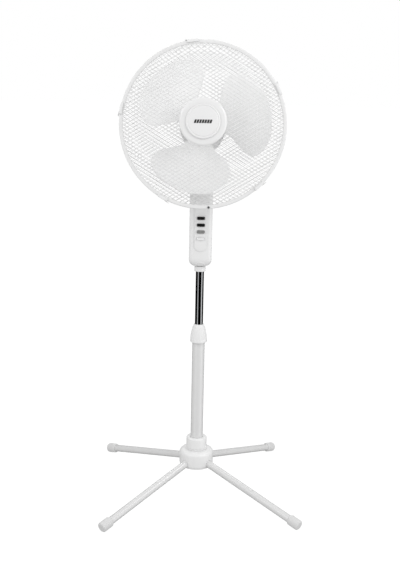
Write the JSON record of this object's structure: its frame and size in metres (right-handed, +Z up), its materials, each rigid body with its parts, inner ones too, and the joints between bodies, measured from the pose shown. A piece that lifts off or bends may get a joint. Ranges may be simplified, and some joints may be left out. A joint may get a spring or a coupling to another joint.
{
  "type": "pedestal fan",
  "caption": "Free-standing electric fan with a cross base, telescopic pole, push-button column and a caged propeller head that tilts and swings.",
  "frame": {"origin": "on the floor, under the pole's axis", "axes": "+Z up along the pole, the fan blows towards -Y, +X to the right as seen from in front"},
  "size_m": [0.5658, 0.5658, 1.2581],
  "materials": {
    "white_plastic": "satin moulded white",
    "white_steel": "satin white powder coat",
    "mesh_white": "white coated wire",
    "blade_white": "smooth pale grey white",
    "chrome": "polished",
    "panel_grey": "matt light grey",
    "button_black": "satin black",
    "button_grey": "satin mid grey",
    "button_white": "satin white",
    "zinc_steel": "zinc plated",
    "die_cast": "as cast",
    "core_steel": "dark laminations",
    "copper": "enamelled copper wire",
    "bronze": "sintered bronze",
    "nylon": "natural nylon",
    "black_plastic": "moulded black",
    "grey_rubber": "matt grey"
  },
  "bodies": {
    "base": {"base_hub": "white_plastic", "leg_1": "white_steel", "leg_2": "white_steel", "leg_3": "white_steel", "leg_4": "white_steel", "foot_cap_1": "white_plastic", "foot_cap_2": "white_plastic", "foot_cap_3": "white_plastic", "foot_cap_4": "white_plastic", "base_bolt": "zinc_steel", "base_collar": "white_plastic", "outer_tube": "white_steel", "clamp_bush": "nylon"},
    "lock_collar": {"height_collar": "white_plastic"},
    "column": {"inner_tube": "chrome", "tube_guide": "nylon", "neck_collar": "white_plastic", "control_housing_front": "white_plastic", "control_housing_rear": "white_plastic", "control_panel": "panel_grey", "push_switch": "black_plastic", "cord_gland": "grey_rubber", "column_screw": "white_plastic", "tilt_yoke": "white_plastic", "tilt_bolt": "zinc_steel"},
    "off_key": {"button_off": "button_black"},
    "low_key": {"button_low": "button_black"},
    "medium_key": {"button_medium": "button_grey"},
    "high_key": {"button_high": "button_white"},
    "neck": {"tilt_knuckle": "white_plastic", "swivel_post": "zinc_steel"},
    "link": {"crank_link": "zinc_steel"},
    "head": {"swivel_bracket": "die_cast", "gearbox_case": "die_cast", "motor_rear_cover": "white_plastic", "motor_front_cover": "white_plastic", "front_bracket": "die_cast", "stator_core": "core_steel", "stator_winding": "copper", "front_bearing": "bronze", "rear_bearing": "bronze", "rear_guard": "mesh_white", "guard_nut": "white_plastic", "front_guard": "mesh_white", "guard_hub_plate": "white_plastic", "guard_badge": "white_plastic", "guard_screw": "zinc_steel"},
    "rotor": {"rotor_core": "core_steel", "motor_shaft": "zinc_steel", "worm": "zinc_steel", "propeller": "blade_white", "blade_nut": "blade_white"},
    "wheel": {"worm_wheel": "nylon"},
    "crank": {"crank_gear": "nylon"},
    "swing_knob": {"oscillation_knob": "white_plastic"},
    "clip_1": {"guard_clip_1": "white_plastic"},
    "clip_2": {"guard_clip_2": "white_plastic"},
    "clip_3": {"guard_clip_3": "white_plastic"},
    "clip_4": {"guard_clip_4": "white_plastic"},
    "clip_5": {"guard_clip_5": "white_plastic"}
  },
  "joints": [
    {"name": "collar_twist", "type": "hinge", "parent": "base", "child": "lock_collar", "pos_m": [0, 0, 0.46], "axis": [0, 0, 1], "range_deg": [0, 90]},
    {"name": "height_slide", "type": "slide", "parent": "base", "child": "column", "axis": [0, 0, 1], "range_m": [-0.145, 0.06]},
    {"name": "tilt", "type": "hinge", "parent": "column", "child": "neck", "pos_m": [0, 0, 0.896], "axis": [-1, 0, 0], "range_deg": [-20, 20]},
    {"name": "swing", "type": "hinge", "parent": "neck", "child": "head", "pos_m": [0, 0, 0.896], "axis": [0, 0.1564, 0.9877], "range_deg": [-40, 40]},
    {"name": "link_swing", "type": "hinge", "parent": "neck", "child": "link", "pos_m": [-0.019, 0.01574, 0.93147], "axis": [0, 0.1564, 0.9877], "range_deg": [-50, 50]},
    {"name": "fan_spin", "type": "hinge", "parent": "head", "child": "rotor", "pos_m": [0, 0.02034, 1.0244], "axis": [0, 0.9877, -0.1564], "continuous": true},
    {"name": "wheel_spin", "type": "hinge", "parent": "head", "child": "wheel", "pos_m": [0.0145, 0.06997, 0.98616], "axis": [0, 0.1564, 0.9877], "continuous": true},
    {"name": "crank_spin", "type": "hinge", "parent": "head", "child": "crank", "pos_m": [-0.0065, 0.06175, 0.93431], "axis": [0, 0.1564, 0.9877], "continuous": true},
    {"name": "swing_knob_slide", "type": "slide", "parent": "head", "child": "swing_knob", "axis": [0, 0.1564, 0.9877], "range_m": [-0.005, 0]},
    {"name": "off_press", "type": "slide", "parent": "column", "child": "off_key", "axis": [0, 1, 0], "range_m": [0, 0.003], "stiffness_N_per_m": 400},
    {"name": "low_press", "type": "slide", "parent": "column", "child": "low_key", "axis": [0, 1, 0], "range_m": [0, 0.003], "stiffness_N_per_m": 400},
    {"name": "medium_press", "type": "slide", "parent": "column", "child": "medium_key", "axis": [0, 1, 0], "range_m": [0, 0.003], "stiffness_N_per_m": 400},
    {"name": "high_press", "type": "slide", "parent": "column", "child": "high_key", "axis": [0, 1, 0], "range_m": [0, 0.003], "stiffness_N_per_m": 400},
    {"name": "clip_1_open", "type": "hinge", "parent": "head", "child": "clip_1", "pos_m": [0.20005, -0.07063, 1.12126], "axis": [0, 0.9877, -0.1564], "range_deg": [0, 60]},
    {"name": "clip_2_open", "type": "hinge", "parent": "head", "child": "clip_2", "pos_m": [-0.01563, -0.04967, 1.25359], "axis": [0, 0.9877, -0.1564], "range_deg": [0, 60]},
    {"name": "clip_3_open", "type": "hinge", "parent": "head", "child": "clip_3", "pos_m": [-0.20971, -0.07528, 1.09189], "axis": [0, 0.9877, -0.1564], "range_deg": [0, 60]},
    {"name": "clip_4_open", "type": "hinge", "parent": "head", "child": "clip_4", "pos_m": [-0.11397, -0.11207, 0.85962], "axis": [0, 0.9877, -0.1564], "range_deg": [0, 60]},
    {"name": "clip_5_open", "type": "hinge", "parent": "head", "child": "clip_5", "pos_m": [0.13927, -0.1092, 0.87777], "axis": [0, 0.9877, -0.1564], "range_deg": [0, 60]}
  ],
  "couplings": [
    {"joint": "wheel_spin", "follows": "fan_spin", "ratio": 0.033333},
    {"joint": "crank_spin", "follows": "fan_spin", "ratio": -0.0055556},
    {"joint": "link_swing", "follows": "swing", "ratio": 1.22}
  ]
}
